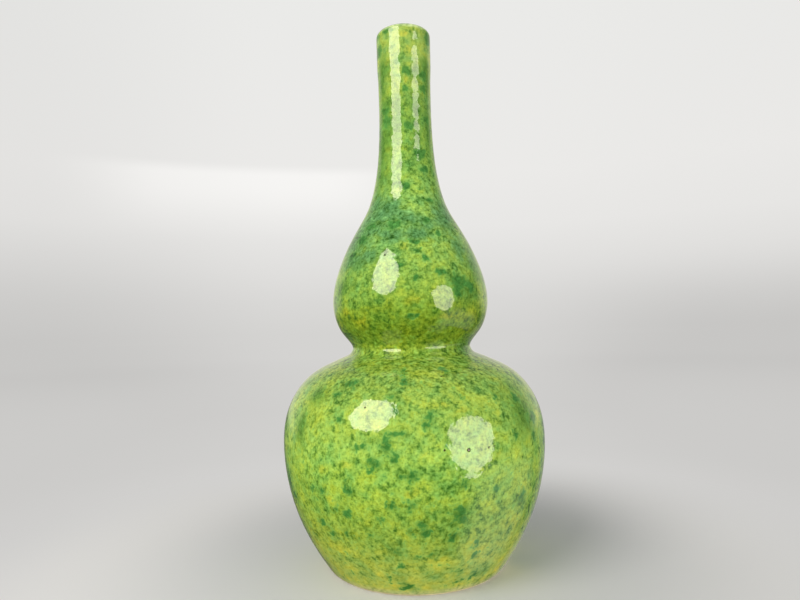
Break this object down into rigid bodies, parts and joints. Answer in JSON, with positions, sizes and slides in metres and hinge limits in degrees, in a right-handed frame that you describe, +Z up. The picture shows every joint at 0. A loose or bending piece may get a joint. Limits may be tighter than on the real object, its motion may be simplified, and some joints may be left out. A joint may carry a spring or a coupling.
{
  "type": "double gourd vase",
  "caption": "Free-standing double gourd vase: a wide lower bulb, a narrow waist, a smaller upper bulb and a long slender neck with a rounded lip, glazed down to its foot ring.",
  "frame": {"origin": "centre of the foot, on the surface that the vase stands on", "axes": "+Z up along the axis that the vase is turned about; X and Y are alike"},
  "size_m": [0.1032, 0.1032, 0.215],
  "materials": {
    "fired_clay": "bare, matt",
    "fired_slip": "bare, matt",
    "green_glaze": "glossy, finely mottled yellow-green and teal",
    "lining_glaze": "glossy, clear to pale",
    "foot_glaze": "glossy, clear to pale"
  },
  "bodies": {
    "root": {"lower_bulb_base": "fired_clay", "belly_slip_seam": "fired_slip", "lower_bulb_shoulder": "fired_clay", "waist_slip_seam": "fired_slip", "upper_bulb": "fired_clay", "neck_slip_seam": "fired_slip", "neck": "fired_clay", "outer_glaze": "green_glaze", "inner_glaze": "lining_glaze", "base_glaze": "foot_glaze"}
  },
  "joints": []
}
